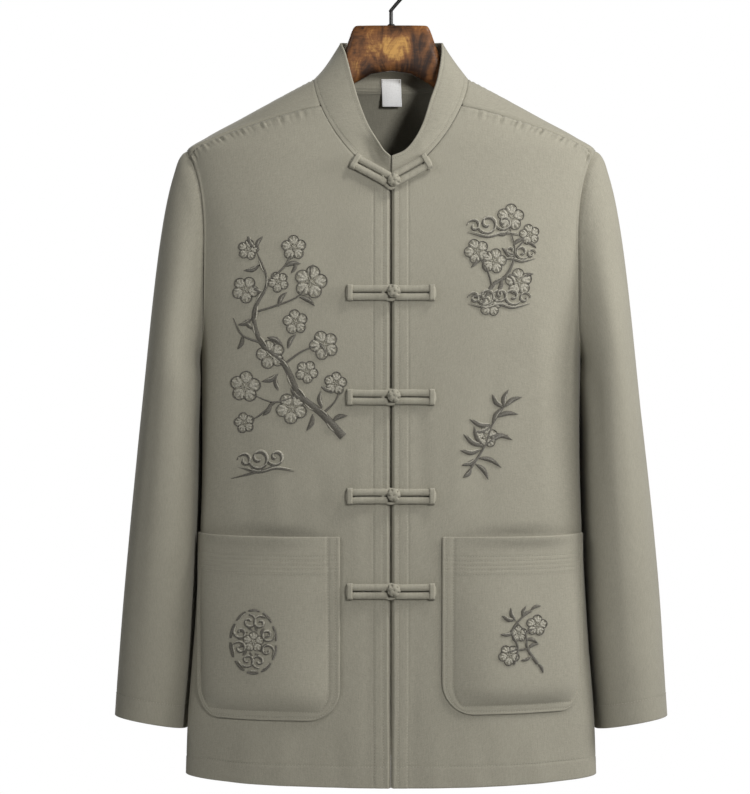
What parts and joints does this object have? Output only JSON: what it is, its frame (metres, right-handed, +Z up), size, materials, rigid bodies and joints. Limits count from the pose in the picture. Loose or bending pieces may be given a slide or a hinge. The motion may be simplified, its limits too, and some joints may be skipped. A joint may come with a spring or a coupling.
{
  "type": "tang suit jacket on a wooden clothes hanger",
  "caption": "Long-sleeved tang suit jacket with a stand collar, knotted frog fastenings and patch pockets, hung on a wooden hanger.",
  "frame": {"origin": "the point under the crown of the hook where a rail carries the hanger", "axes": "+Z up, the jacket's front faces -Y, +X towards the wearer's left"},
  "size_m": [0.598, 0.215, 0.8718],
  "materials": {
    "cloth": "matt cotton and linen, grey green with a faint slub",
    "label": "matt white, blank",
    "wood": "satin, burr figure",
    "hook": "dark, satin"
  },
  "bodies": {
    "root": {"front_left": "cloth", "front_right": "cloth", "back": "cloth", "sleeve_left": "cloth", "sleeve_right": "cloth", "collar": "cloth", "pocket_left": "cloth", "pocket_right": "cloth", "frog_loop_1": "cloth", "frog_loop_2": "cloth", "frog_loop_3": "cloth", "frog_loop_4": "cloth", "frog_loop_5": "cloth", "frog_strip_1": "cloth", "frog_strip_2": "cloth", "frog_strip_3": "cloth", "frog_strip_4": "cloth", "frog_strip_5": "cloth", "frog_knot_1": "cloth", "frog_knot_2": "cloth", "frog_knot_3": "cloth", "frog_knot_4": "cloth", "frog_knot_5": "cloth", "label": "label", "hanger": "wood", "hook": "hook"}
  },
  "joints": []
}
